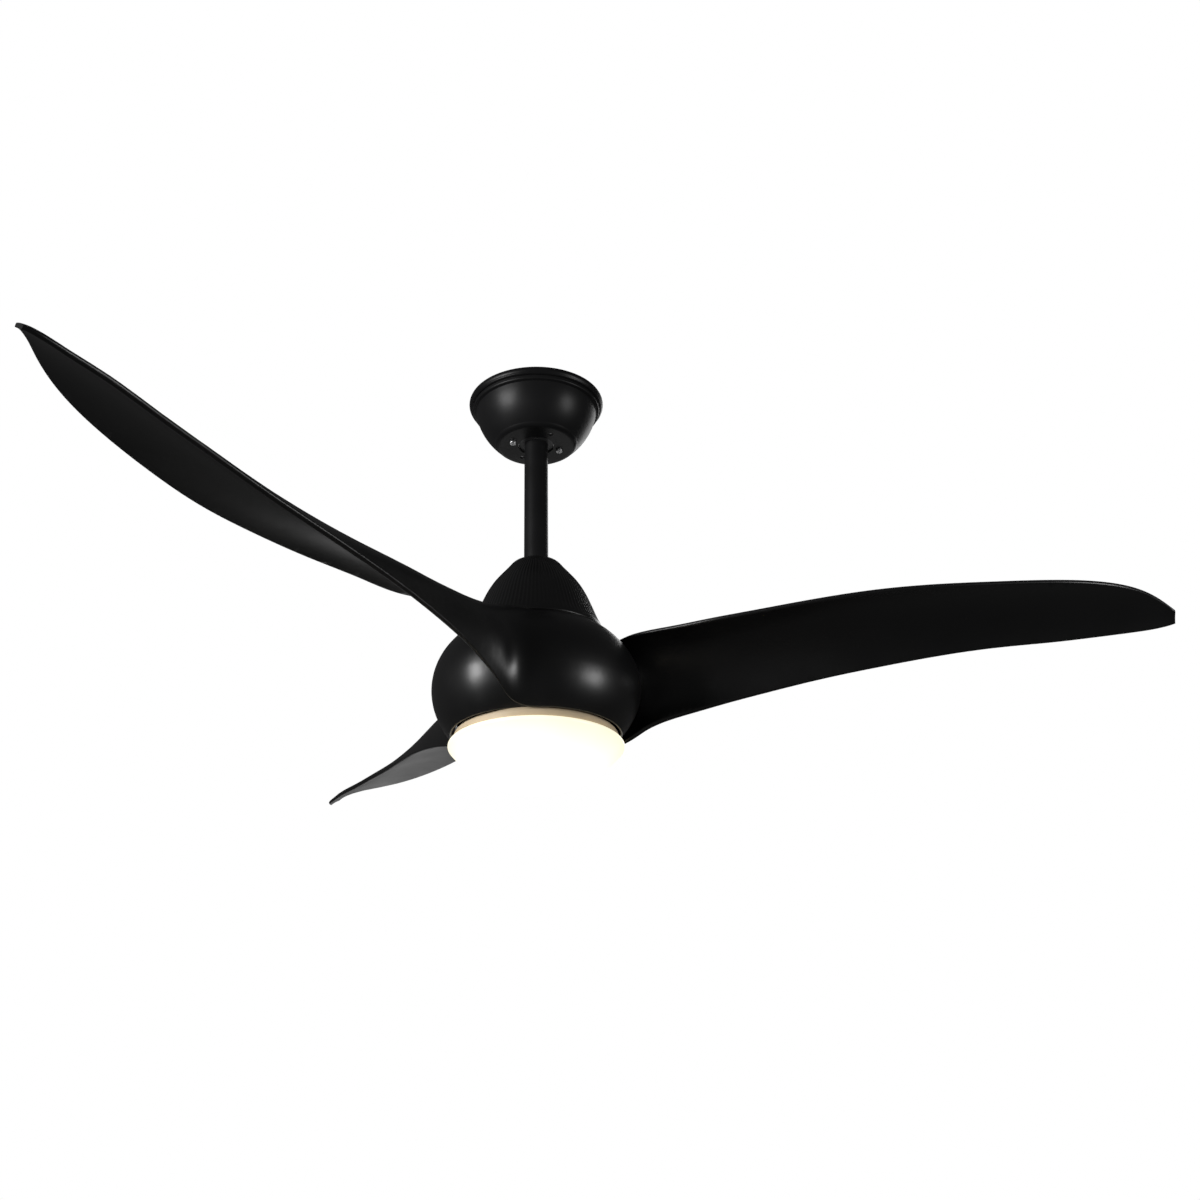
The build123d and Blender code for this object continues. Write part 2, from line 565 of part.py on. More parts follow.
def shell_section(cap_z, towards):
    """Half section of a rotor shell; towards is -1 when the shell opens downwards."""
    with BuildSketch(Plane.XZ) as section:
        with BuildLine():
            Polyline(
                (HUB_HOLE_R, cap_z),
                (ROTOR_R - 4, cap_z),
                (ROTOR_R, cap_z + 4 * towards),
                (ROTOR_R, ROTOR_MID_Z - ROTOR_LUG_T * towards),
                (LUG_R, ROTOR_MID_Z - ROTOR_LUG_T * towards),
                (LUG_R, ROTOR_MID_Z),
                (RING_IN_R + RING_WALL + SLIP, ROTOR_MID_Z),
                (RING_IN_R + RING_WALL + SLIP, cap_z + CAP_T * towards),
                (BEARING_R + 4, cap_z + CAP_T * towards),
                (BEARING_R + 4, cap_z + 18 * towards),
                (BEARING_R + SLIP, cap_z + 18 * towards),
                (BEARING_R + SLIP, cap_z + 6 * towards),
                (HUB_HOLE_R, cap_z + 6 * towards),
                close=True,
            )
        make_face()
    return section.sketch


with BuildPart() as rotor_top:
    revolve(shell_section(ROTOR_TOP_Z, -1), axis=Axis.Z)
    with BuildSketch(Plane.XY.offset(ROTOR_MID_Z)):
        with PolarLocations(ROTOR_SCREW_R, ROTOR_SCREWS):
            Circle(M4_HOLE_R)
    extrude(amount=ROTOR_LUG_T, mode=Mode.SUBTRACT)
    # cooling slots in the cap
    with BuildSketch(Plane.XY.offset(ROTOR_TOP_Z)):
        with PolarLocations(46, 12):
            SlotOverall(22, 6)
    extrude(amount=-CAP_T, mode=Mode.SUBTRACT)
write(rotor_top.part, "rotor_top")

with BuildPart() as rotor_bottom:
    revolve(shell_section(ROTOR_BOTTOM_Z, 1), axis=Axis.Z)
    with BuildSketch(Plane.XY.offset(ROTOR_MID_Z)):
        with PolarLocations(ROTOR_SCREW_R, ROTOR_SCREWS):
            Circle(M4_HOLE_R)
    extrude(amount=-ROTOR_LUG_T, mode=Mode.SUBTRACT)
    with BuildSketch(Plane.XY.offset(ROTOR_BOTTOM_Z)):
        for blade_number in range(BLADE_COUNT):
            for angle in BLADE_SCREW_ANGLES:
                with Locations(blade_screw_place(blade_number, angle)):
                    Circle(M4_HOLE_R)
    extrude(amount=CAP_T, mode=Mode.SUBTRACT)
write(rotor_bottom.part, "rotor_bottom")

with BuildPart() as rotor_ring:
    with BuildSketch(Plane.XY.offset(ROTOR_BOTTOM_Z + 8)):
        Circle(RING_IN_R + RING_WALL)
        Circle(RING_IN_R, mode=Mode.SUBTRACT)
    extrude(amount=ROTOR_TOP_Z - ROTOR_BOTTOM_Z - 16)
write(rotor_ring.part, "rotor_ring")

MAGNETS = 14
with BuildPart() as rotor_magnets:
    with BuildSketch(Plane.XY.offset(STATOR_Z - 1)):
        Circle(RING_IN_R - SLIP)
        Circle(MAGNET_IN_R, mode=Mode.SUBTRACT)
        with PolarLocations(RING_IN_R, MAGNETS):
            Rectangle(3 * (RING_IN_R - MAGNET_IN_R), 3, mode=Mode.SUBTRACT)
    extrude(amount=STATOR_H + 2)
write(rotor_magnets.part, "rotor_magnets")

with BuildPart() as rotor_screws:
    with BuildSketch(Plane.XY.offset(ROTOR_MID_Z + ROTOR_LUG_T)):
        with PolarLocations(ROTOR_SCREW_R, ROTOR_SCREWS):
            Circle(M4_HEAD_R)
    extrude(amount=M4_HEAD_H)
    with BuildSketch(Plane.XY.offset(ROTOR_MID_Z - ROTOR_LUG_T)):
        with PolarLocations(ROTOR_SCREW_R, ROTOR_SCREWS):
            Circle(M4_R)
    extrude(amount=2 * ROTOR_LUG_T)
write(rotor_screws.part, "rotor_screws")

# ---------------------------------------------------------------- blades
# A blade is one curved plate, lofted through upright ribs. A rib's underside runs from a lower point
# on the crease edge to an upper point on the back edge, in one arc that bows up and outwards.
# Petal ribs stand on the bowl, at these angles ahead of the blade's straight axis. The tail of the
# petal is thinner and tucked in, so that the next blade's petal laps over it.
PETAL_ANGLES = (161, 151, 141, 130, 115, 98, 80, 64, 51, 41)
TUCK_START = 130
TUCK_END = 150
TAIL_WALL = 1.5
TAIL_TUCK = 2.6            # how far the tail's inner face moves in
TAIL_DROP = 2.0            # how far the tail's top edge drops

# Design stations of the free blade: lower point, upper point, bow and thickness at the two edges.
BLADE_STATIONS = (
    ((86, 48, -389), (75, 34, -291), 0.250, 4.5, 4.0),
    ((103, 50, -378), (92, 22, -291), 0.280, 5.0, 4.0),
    ((125, 54, -368), (115, 11, -292), 0.295, 5.5, 4.0),
    ((152, 60, -360), (146, 1, -294), 0.290, 5.5, 4.0),
    ((184, 65, -352), (181, -9, -295), 0.268, 5.5, 4.0),
    ((225, 70, -343), (223, -13, -293), 0.230, 5.5, 4.0),
    ((284, 75, -332), (283, -18, -290), 0.175, 5.5, 4.0),
    ((344, 80, -323), (344, -19, -287), 0.135, 5.5, 4.0),
    ((403, 86, -315), (403, -13, -285), 0.115, 5.5, 4.0),
    ((463, 96, -308), (463, 2, -282), 0.095, 5.5, 4.0),
    ((522, 108, -303), (522, 22, -278), 0.080, 5.5, 4.0),
    ((570, 117, -298), (570, 46, -275), 0.075, 5.5, 4.0),
    ((603, 121, -295), (603, 72, -274), 0.070, 5.0, 3.8),
    ((627, 123, -292), (627, 98, -277), 0.060, 4.4, 3.6),
    ((640, 121, -290), (640, 111, -283), 0.050, 3.8, 3.4),
)


RIB_REACH = 0.28           # length of a rib's curve handles, as a share of its chord
CREASE_LEAN = 0.22         # how far a free rib's arc leans towards the crease edge
LEAN_START = 80.0          # along the blade, where the lean begins, and how long it takes to grow
LEAN_RUN = 80.0


def rib_sketch(lower, upper, bow, lower_t, upper_t, outward, lean=0.0):
    """Outline of one rib, in the upright plane through its two points."""
    across = Vector(*outward)
    side = Plane(origin=(lower[0], lower[1], 0), x_dir=across, z_dir=across.cross(Vector(0, 0, 1)))
    run = (Vector(*upper) - Vector(*lower)).dot(across)
    low = Vector(0, lower[2])
    high = Vector(run, upper[2])
    chord = high - low
    along = chord.normalized()
    out = Vector(along.Y, -along.X)
    rise = out * (4 / 3 * bow * chord.length)
    reach = chord * RIB_REACH
    inner = (low, low + reach + rise * (1 + lean), high - reach + rise * (1 - lean), high)
    start = (inner[1] - inner[0]).normalized()
    end = (inner[3] - inner[2]).normalized()
    start_out = Vector(start.Y, -start.X)
    end_out = Vector(end.Y, -end.X)
    outer = (
        inner[0] + start_out * lower_t,
        inner[1] + (start_out + out) * lower_t / 2,
        inner[2] + (end_out + out) * upper_t / 2,
        inner[3] + end_out * upper_t,
    )
    with BuildSketch(side) as outline:
        with BuildLine():
            Bezier(*outer)
            Bezier(outer[3], outer[3] + end * upper_t * 0.5, inner[3] + end * upper_t * 0.5, inner[3])
            Bezier(*reversed(inner))
            Bezier(inner[0], inner[0] - start * lower_t * 0.5, outer[0] - start * lower_t * 0.5, outer[0])
        make_face()
    return outline.sketch


def petal_rib(angle):
    """A rib on the bowl, at an angle ahead of the blade's axis."""
    share = min(1, max(0, (angle - TUCK_START) / (TUCK_END - TUCK_START)))
    share = share * share * (3 - 2 * share)
    wall = BOWL_WALL + (TAIL_WALL - BOWL_WALL) * share
    inset = BOWL_WALL + TAIL_TUCK * share
    lower = polar(BOWL_RIM_R - inset, angle, BOWL_RIM_Z)
    upper = polar(BOWL_LIP_R - inset, angle, BOWL_LIP_Z - TAIL_DROP * share)
    return rib_sketch(tuple(lower), tuple(upper), BOWL_BOW, wall, wall, tuple(polar(1, angle, 0)))


def blade_rib(lower, upper, bow, lower_t, upper_t):
    """A rib of the free blade, in the upright plane from its upper to its lower point."""
    flat = Vector(lower[0] - upper[0], lower[1] - upper[1], 0).normalized()
    lean = CREASE_LEAN * min(1, (lower[0] - LEAN_START) / LEAN_RUN)
    return rib_sketch(lower, upper, bow, lower_t, upper_t, tuple(flat), lean)


# mounting tab inside the petal, under the rotor
TAB_T = 4.0
TAB_IN_R = 42.0
TAB_OUT_R = 105.2
TAB_START = 50
TAB_SWEEP = 74

with BuildPart() as blade_body:
    loft([petal_rib(angle) for angle in PETAL_ANGLES] + [blade_rib(*station) for station in BLADE_STATIONS])
    with BuildSketch(Plane.XY.offset(ROTOR_BOTTOM_Z - TAB_T)):
        with BuildLine():
            CenterArc((0, 0), TAB_OUT_R, TAB_START, TAB_SWEEP)
            CenterArc((0, 0), TAB_IN_R, TAB_START, TAB_SWEEP)
            Line(polar(TAB_IN_R, TAB_START, 0), polar(TAB_OUT_R, TAB_START, 0))
            Line(polar(TAB_IN_R, TAB_START + TAB_SWEEP, 0), polar(TAB_OUT_R, TAB_START + TAB_SWEEP, 0))
        make_face()
    extrude(amount=TAB_T)
    with BuildSketch(Plane.XY.offset(ROTOR_BOTTOM_Z - TAB_T)):
        for angle in BLADE_SCREW_ANGLES:
            with Locations(polar(BLADE_SCREW_R, angle, 0)):
                Circle(2.2)
    extrude(amount=TAB_T, mode=Mode.SUBTRACT)

for blade_number in range(BLADE_COUNT):
    with BuildPart() as blade:
        add(blade_body.part, rotation=(0, 0, BLADE_AZIMUTH + 360 / BLADE_COUNT * blade_number))
    write(blade.part, f"blade_{blade_number + 1}")

with BuildPart() as blade_screws:
    for blade_number in range(BLADE_COUNT):
        for angle in BLADE_SCREW_ANGLES:
            place = blade_screw_place(blade_number, angle)
            with BuildSketch(Plane.XY.offset(ROTOR_BOTTOM_Z - TAB_T)):
                with Locations(place):
                    Circle(BLADE_HEAD_R)
            extrude(amount=-BLADE_HEAD_H)
            with BuildSketch(Plane.XY.offset(ROTOR_BOTTOM_Z - TAB_T)):
                with Locations(place):
                    Circle(M4_R)
            extrude(amount=TAB_T + CAP_T)
write(blade_screws.part, "blade_screws")

# ---------------------------------------------------------------- light plate, nut and driver
PLATE_R = 60.0
PLATE_T = 2.0
LEG_W = 14.0
FOOT_R = 71.0
PAN_SCREW_R = 66.0
LEG_START = 30             # legs at 30, 150 and 270 degrees
with BuildPart() as light_plate:
    with BuildSketch(Plane.XY.offset(PLATE_Z - PLATE_T)):
        Circle(PLATE_R)
        Circle(SHAFT_R + SLIP, mode=Mode.SUBTRACT)
        with PolarLocations(36, 3, start_angle=90):
            Circle(9, mode=Mode.SUBTRACT)
    extrude(amount=PLATE_T)
    with BuildSketch(Plane.XY.offset(PAN_Z)):
        with PolarLocations(PLATE_R - 2, 3, start_angle=LEG_START):
            Rectangle(PLATE_T, LEG_W)
    extrude(amount=PLATE_Z - PAN_Z)
    with BuildSketch(Plane.XY.offset(PAN_Z)):
        with PolarLocations((PLATE_R - 3 + FOOT_R) / 2, 3, start_angle=LEG_START):
            Rectangle(FOOT_R - PLATE_R + 3, LEG_W)
        with PolarLocations(PAN_SCREW_R, 3, start_angle=LEG_START):
            Circle(M3_HOLE_R, mode=Mode.SUBTRACT)
    extrude(amount=PLATE_T)
write(light_plate.part, "light_plate")

with BuildPart() as shaft_nut:
    with BuildSketch(Plane.XY.offset(NUT_TOP_Z - 5)):
        RegularPolygon(14, 6, major_radius=False)
        Circle(SHAFT_R + SLIP, mode=Mode.SUBTRACT)
    extrude(amount=5)
write(shaft_nut.part, "shaft_nut")

DRIVER_L = 36.0
DRIVER_W = 42.0
DRIVER_TOP_Z = PLATE_Z - PLATE_T
DRIVER_BOTTOM_Z = DRIVER_TOP_Z - 20
DRIVER_MID_X = DRIVER_X + DRIVER_L / 2
LID_T = 1.5
with BuildPart() as driver_case:
    with BuildSketch(Plane.XY.offset(DRIVER_BOTTOM_Z + LID_T)):
        with Locations((DRIVER_MID_X, 0)):
            RectangleRounded(DRIVER_L, DRIVER_W, 2)
    extrude(amount=DRIVER_TOP_Z - DRIVER_BOTTOM_Z - LID_T)
    with BuildSketch(Plane.XY.offset(DRIVER_BOTTOM_Z + LID_T)):
        with Locations((DRIVER_MID_X, 0)):
            RectangleRounded(DRIVER_L - 3, DRIVER_W - 3, 1)
    extrude(amount=DRIVER_TOP_Z - DRIVER_BOTTOM_Z - 2 * LID_T, mode=Mode.SUBTRACT)
write(driver_case.part, "driver_case")

with BuildPart() as driver_board:
    with BuildSketch(Plane.XY.offset(DRIVER_BOTTOM_Z + 12)):
        with Locations((DRIVER_MID_X, 0)):
            Rectangle(DRIVER_L - 5, DRIVER_W - 5)
    extrude(amount=BOARD_T)
    with BuildSketch(Plane.XY.offset(DRIVER_BOTTOM_Z + 12)):
        with Locations((DRIVER_MID_X - 6, -8)):
            Rectangle(12, 12)
        with Locations((DRIVER_MID_X + 8, 9), (DRIVER_MID_X - 7, 10)):
            Circle(4.5)
    extrude(amount=-8)
write(driver_board.part, "driver_board")

LED_LEAD_R = 2.0
LED_LEAD_HOLE_R = 3.0
with BuildPart() as driver_lid:
    with BuildSketch(Plane.XY.offset(DRIVER_BOTTOM_Z)):
        with Locations((DRIVER_MID_X, 0)):
            RectangleRounded(DRIVER_L, DRIVER_W, 2)
            Circle(LED_LEAD_HOLE_R, mode=Mode.SUBTRACT)
    extrude(amount=LID_T)
write(driver_lid.part, "driver_lid")

# ---------------------------------------------------------------- light pan, LED board and dome
LED_BOARD_R = 61.0
LED_BOARD_TOP_Z = PAN_Z - SHEET
BOARD_SCREW_R = 42.0       # circle of the board's screws
CLIP_START = 90            # three clips on the pan's rim, at 90, 210 and 330 degrees
PAN_CORNER = 5.0
with BuildPart() as light_pan:
    with BuildSketch(Plane.XY.offset(PAN_RIM_Z)):
        Circle(PAN_R)
    extrude(amount=PAN_Z - PAN_RIM_Z)
    fillet(light_pan.edges().group_by(Axis.Z)[-1], PAN_CORNER)
    with BuildSketch(Plane.XY.offset(PAN_RIM_Z)):
        Circle(PAN_R - SHEET)
    extrude(amount=PAN_Z - PAN_RIM_Z - PAN_CORNER, mode=Mode.SUBTRACT)
    with BuildSketch(Plane.XY.offset(PAN_Z - PAN_CORNER)):
        Circle(PAN_R - PAN_CORNER)
    extrude(amount=PAN_CORNER - SHEET, mode=Mode.SUBTRACT)
    with BuildSketch(Plane.XY.offset(PAN_Z - SHEET)):
        with Locations((DRIVER_MID_X, 0)):
            Circle(LED_LEAD_HOLE_R)
        with PolarLocations(PAN_SCREW_R, 3, start_angle=LEG_START):
            Circle(1.8)
        with PolarLocations(BOARD_SCREW_R, 3, start_angle=CLIP_START):
            Circle(M3_HOLE_R)
    extrude(amount=SHEET, mode=Mode.SUBTRACT)
write(light_pan.part, "light_pan")

with BuildPart() as led_lead:
    with BuildSketch(Plane.XY.offset(LED_BOARD_TOP_Z)):
        with Locations((DRIVER_MID_X, 0)):
            Circle(LED_LEAD_R)
    extrude(amount=DRIVER_BOTTOM_Z + 3 - LED_BOARD_TOP_Z)
write(led_lead.part, "led_lead")

with BuildPart() as pan_screws:
    with BuildSketch(Plane.XY.offset(LED_BOARD_TOP_Z)):
        with PolarLocations(PAN_SCREW_R, 3, start_angle=LEG_START):
            Circle(3.2)
    extrude(amount=-2)
    with BuildSketch(Plane.XY.offset(LED_BOARD_TOP_Z)):
        with PolarLocations(PAN_SCREW_R, 3, start_angle=LEG_START):
            Circle(M3_R)
    extrude(amount=6)
write(pan_screws.part, "pan_screws")

with BuildPart() as led_board:
    with BuildSketch(Plane.XY.offset(LED_BOARD_TOP_Z - BOARD_T)):
        Circle(LED_BOARD_R)
        with PolarLocations(BOARD_SCREW_R, 3, start_angle=CLIP_START):
            Circle(M3_HOLE_R, mode=Mode.SUBTRACT)
    extrude(amount=BOARD_T)
write(led_board.part, "led_board")

CHIP = 3.4
CHIP_RINGS = ((18, 8), (32, 16), (53, 26))
with BuildPart() as led_chips:
    with BuildSketch(Plane.XY.offset(LED_BOARD_TOP_Z - BOARD_T)):
        for ring_r, count in CHIP_RINGS:
            with PolarLocations(ring_r, count):
                Rectangle(CHIP, CHIP)
    extrude(amount=-0.9)
write(led_chips.part, "led_chips")

with BuildPart() as board_screws:
    with BuildSketch(Plane.XY.offset(LED_BOARD_TOP_Z - BOARD_T)):
        with PolarLocations(BOARD_SCREW_R, 3, start_angle=CLIP_START):
            Circle(2.8)
    extrude(amount=-1.6)
    with BuildSketch(Plane.XY.offset(LED_BOARD_TOP_Z - BOARD_T)):
        with PolarLocations(BOARD_SCREW_R, 3, start_angle=CLIP_START):
            Circle(M3_R)
    extrude(amount=5)
write(board_screws.part, "board_screws")

CLIP_T = 0.5
CLIP_TOP_Z = PAN_RIM_Z + 6.5
LEDGE_R = PAN_R + 1.8
LEDGE_TOP_Z = PAN_RIM_Z + 1.5
LUG_GAP = 0.1
CLIP_HALF = 5              # half the clip's width, in degrees
STOP_SWEEP = 2
STOP_H = 3.0
LEDGE_ROOT_R = PAN_R + CLIP_T / 2


def arc_band(inner_r, outer_r, start, sweep, bottom_z):
    """Outline of a short curved block between two radii."""
    with BuildSketch(Plane.XY.offset(bottom_z)) as band:
        with BuildLine():
            CenterArc((0, 0), outer_r, start, sweep)
            CenterArc((0, 0), inner_r, start, sweep)
            Line(polar(inner_r, start, 0), polar(outer_r, start, 0))
            Line(polar(inner_r, start + sweep, 0), polar(outer_r, start + sweep, 0))
        make_face()
    return band.sketch


CLIP_SWEEP = 2 * CLIP_HALF + STOP_SWEEP
with BuildPart() as dome_clips:
    for corner in range(3):
        first = CLIP_START + 120 * corner - CLIP_HALF
        # strip against the pan's rim, a ledge under the dome's lug, and the end stop
        strip = arc_band(PAN_R, PAN_R + CLIP_T, first, CLIP_SWEEP, PAN_RIM_Z)
        ledge = arc_band(LEDGE_ROOT_R, LEDGE_R, first, CLIP_SWEEP, PAN_RIM_Z)
        end_stop = arc_band(LEDGE_ROOT_R, LEDGE_R, first + 2 * CLIP_HALF, STOP_SWEEP, PAN_RIM_Z)
        extrude(strip, amount=CLIP_TOP_Z - PAN_RIM_Z)
        extrude(ledge, amount=LEDGE_TOP_Z - PAN_RIM_Z)
        extrude(end_stop, amount=STOP_H)
write(dome_clips.part, "dome_clips")

DOME_NECK_R = 85.8         # inside of the dome's rim
DOME_NECK_Z = DOME_TOP_Z - 4.0
LUG_IN_R = 84.4
LUG_T = 1.7
LUG_HALF = 4               # half a lug's width, in degrees
SHOULDER_R = DOME_R - 1.8
# radius and height down the dome's outside, and up its inside
DOME_OUTSIDE = ((80.5, -420), (68.3, -430), (54, -440), (28, -450))
DOME_INSIDE = ((27.4, -447.6), (52.6, -437.8), (66.7, -428), (79, -417.6))
with BuildPart() as light_dome:
    with BuildSketch(Plane.XZ):
        with BuildLine():
            Line((DOME_NECK_R, DOME_TOP_Z), (SHOULDER_R, DOME_TOP_Z))
            shoulder = ThreePointArc(
                (SHOULDER_R, DOME_TOP_Z), (DOME_R, DOME_TOP_Z - 2.2), (DOME_R - 0.7, DOME_TOP_Z - 4.6)
            )
            Spline(shoulder @ 1, *DOME_OUTSIDE, (0, DOME_BOTTOM_Z), tangents=(shoulder % 1, (-1, 0)))
            Line((0, DOME_BOTTOM_Z), (0, DOME_BOTTOM_Z + DOME_WALL))
            Spline((0, DOME_BOTTOM_Z + DOME_WALL), *DOME_INSIDE, (DOME_NECK_R, DOME_NECK_Z),
                   tangents=((1, 0), (0.5, 0.85)))
            Line((DOME_NECK_R, DOME_NECK_Z), (DOME_NECK_R, DOME_TOP_Z))
        make_face()
    revolve(axis=Axis.Z)
    # lugs that ride on the clips
    for corner in range(3):
        first = CLIP_START + 120 * corner - LUG_HALF
        lug = arc_band(LUG_IN_R, DOME_NECK_R + 1, first, 2 * LUG_HALF, LEDGE_TOP_Z + LUG_GAP)
        extrude(lug, amount=LUG_T)
write(light_dome.part, "light_dome")
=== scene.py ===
import bpy
import json
import math
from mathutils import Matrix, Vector


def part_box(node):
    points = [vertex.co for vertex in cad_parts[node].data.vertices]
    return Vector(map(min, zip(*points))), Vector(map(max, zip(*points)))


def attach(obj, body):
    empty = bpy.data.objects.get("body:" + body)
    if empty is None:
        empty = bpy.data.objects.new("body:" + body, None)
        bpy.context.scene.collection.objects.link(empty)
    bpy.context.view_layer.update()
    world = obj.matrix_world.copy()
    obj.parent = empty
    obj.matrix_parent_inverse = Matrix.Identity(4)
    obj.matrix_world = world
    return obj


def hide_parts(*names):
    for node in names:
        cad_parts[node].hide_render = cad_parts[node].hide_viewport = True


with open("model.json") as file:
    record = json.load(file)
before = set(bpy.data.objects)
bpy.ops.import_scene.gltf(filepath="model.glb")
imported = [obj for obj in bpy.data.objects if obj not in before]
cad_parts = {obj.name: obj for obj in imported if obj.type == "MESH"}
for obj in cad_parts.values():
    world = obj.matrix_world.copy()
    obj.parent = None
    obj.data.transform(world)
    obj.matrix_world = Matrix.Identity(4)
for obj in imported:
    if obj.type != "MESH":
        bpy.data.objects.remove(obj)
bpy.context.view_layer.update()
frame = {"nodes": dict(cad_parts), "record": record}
NODES = frame["nodes"]
scene = bpy.context.scene

# ------------------------------------------------------------------ camera
# The camera looks up at the fan from below. Its place is measured from the ceiling plane, z = 0.
LENS = 42.9
SENSOR = 36.0
CAMERA_BACK = 1.3677
CAMERA_DROP = 0.888
CAMERA_PITCH = 25.19
SHIFT_X = 0.0532
NEAREST = 0.01


def photo_camera():
    data = bpy.data.cameras.new("camera")
    data.lens = LENS
    data.sensor_width = SENSOR
    data.shift_x = SHIFT_X
    data.clip_start = NEAREST
    camera = bpy.data.objects.new("camera", data)
    camera.location = (0, -CAMERA_BACK, -CAMERA_DROP)
    camera.rotation_euler = (math.radians(90 + CAMERA_PITCH), 0, 0)
    scene.collection.objects.link(camera)
    return camera


scene.camera = photo_camera()


# ------------------------------------------------------------------ material helpers
class Recipe:
    """A node material under construction: a principled shader and short calls for its inputs."""

    def __init__(self, name):
        self.material = bpy.data.materials.new(name)
        self.material.use_nodes = True
        self.tree = self.material.node_tree
        self.shader = self.tree.nodes["Principled BSDF"]
        self.coords = self.tree.nodes.new("ShaderNodeTexCoord").outputs["Object"]

    def node(self, kind, **settings):
        made = self.tree.nodes.new(kind)
        for key, value in settings.items():
            setattr(made, key, value)
        return made

    def link(self, source, target):
        self.tree.links.new(source, target)

    def feed(self, source, socket):
        """Links a value that varies over the surface to one of the shader's sockets."""
        self.link(source, self.shader.inputs[socket])

    def set(self, **values):
        """Sets the shader's own sockets, for values that are the same all over the surface."""
        for key, value in values.items():
            self.shader.inputs[key.replace("_", " ")].default_value = value

    def scaled(self, x, y, z):
        """Object coordinates stretched along each axis."""
        mapping = self.node("ShaderNodeMapping")
        mapping.inputs["Scale"].default_value = (x, y, z)
        self.link(self.coords, mapping.inputs["Vector"])
        return mapping.outputs["Vector"]

    def noise(self, scale, detail=4.0, rough=0.55, vector=None):
        made = self.node("ShaderNodeTexNoise")
        made.inputs["Scale"].default_value = scale
        made.inputs["Detail"].default_value = detail
        made.inputs["Roughness"].default_value = rough
        self.link(vector or self.coords, made.inputs["Vector"])
        return made.outputs["Fac"]

    def span(self, value, low, high, start=0.3, end=0.7):
        """Spreads a value that runs from start to end over low to high."""
        made = self.node("ShaderNodeMapRange")
        made.inputs["From Min"].default_value = start
        made.inputs["From Max"].default_value = end
        made.inputs["To Min"].default_value = low
        made.inputs["To Max"].default_value = high
        self.link(value, made.inputs["Value"])
        return made.outputs["Result"]

    def tones(self, value, first, last, start=0.3, end=0.7):
        """Turns a value that runs from start to end into a colour between first and last."""
        made = self.node("ShaderNodeValToRGB")
        made.color_ramp.elements[0].position = start
        made.color_ramp.elements[0].color = (*first, 1)
        made.color_ramp.elements[1].position = end
        made.color_ramp.elements[1].color = (*last, 1)
        self.link(value, made.inputs["Fac"])
        return made.outputs["Color"]

    def bump(self, height, strength, distance):
        made = self.node("ShaderNodeBump")
        made.inputs["Strength"].default_value = strength
        made.inputs["Distance"].default_value = distance
        self.link(height, made.inputs["Height"])
        self.feed(made.outputs["Normal"], "Normal")


def shade(colour, share):
    return tuple(min(1.0, part * share) for part in colour)


# ------------------------------------------------------------------ kinds of material
def powder_coat(name, colour, roughness, shine=0.5):
    """Satin paint: fine orange peel, slow colour variation and handling marks in the gloss."""
    m = Recipe(name)
    m.set(Metallic=0.0, Specular_IOR_Level=shine)
    blotch = m.noise(scale=9, detail=5)
    marks = m.noise(scale=26, detail=6)
    peel = m.noise(scale=900, detail=2)
    m.feed(m.tones(blotch, shade(colour, 0.82), shade(colour, 1.22)), "Base Color")
    m.feed(m.span(marks, roughness - 0.05, roughness + 0.07), "Roughness")
    m.bump(peel, strength=0.12, distance=0.0002)
    return m.material


def moulded(name, colour, roughness, grain=1400, depth=0.00012):
    """Moulded plastic: very fine grain, slow colour variation and slight gloss variation."""
    m = Recipe(name)
    m.set(Metallic=0.0, Specular_IOR_Level=0.5)
    flow = m.noise(scale=6, detail=3)
    marks = m.noise(scale=14, detail=6)
    m.feed(m.tones(flow, shade(colour, 0.85), shade(colour, 1.18)), "Base Color")
    m.feed(m.span(marks, roughness - 0.04, roughness + 0.06), "Roughness")
    m.bump(m.noise(grain, detail=2), strength=0.10, distance=depth)
    return m.material


def bare_metal(name, colour, roughness, stretch=(1, 1, 14), scale=60, depth=0.0001):
    """Bare or plated metal, with drawn or turned lines in its roughness and bump."""
    m = Recipe(name)
    m.set(Metallic=1.0)
    lines = m.noise(scale, detail=6, rough=0.6, vector=m.scaled(*stretch))
    tarnish = m.noise(scale=12, detail=4)
    m.feed(m.tones(tarnish, shade(colour, 0.78), shade(colour, 1.1)), "Base Color")
    m.feed(m.span(lines, roughness - 0.08, roughness + 0.12), "Roughness")
    m.bump(lines, strength=0.15, distance=depth)
    return m.material


def wound_wire(name, colour):
    """Enamelled wire laid turn beside turn, with painted shade in the grooves between the turns."""
    m = Recipe(name)
    m.set(Metallic=0.7, Coat_Weight=0.4, Coat_Roughness=0.15)
    wave = m.node("ShaderNodeTexWave", wave_type="BANDS", bands_direction="Z")
    wave.inputs["Scale"].default_value = 260
    wave.inputs["Distortion"].default_value = 1.5
    m.link(m.coords, wave.inputs["Vector"])
    turns = wave.outputs["Fac"]
    # painted shade: the colour falls to half in the valleys between turns, where the bump also sinks
    m.feed(m.tones(turns, shade(colour, 0.5), colour, start=0.1, end=0.8), "Base Color")
    m.feed(m.span(m.noise(scale=40, detail=4), 0.25, 0.4), "Roughness")
    m.bump(turns, strength=0.5, distance=0.0003)
    return m.material


def board(name, colour, trace):
    """A circuit board: solder mask with the outlines of its copper showing through."""
    m = Recipe(name)
    m.set(Metallic=0.0, Coat_Weight=0.3, Coat_Roughness=0.1)
    cells = m.node("ShaderNodeTexVoronoi", feature="DISTANCE_TO_EDGE")
    cells.inputs["Scale"].default_value = 120
    m.link(m.coords, cells.inputs["Vector"])
    edge = cells.outputs["Distance"]
    m.feed(m.tones(edge, trace, colour, start=0.02, end=0.06), "Base Color")
    m.feed(m.span(m.noise(scale=60, detail=3), 0.3, 0.5), "Roughness")
    m.bump(edge, strength=0.2, distance=0.0001)
    return m.material


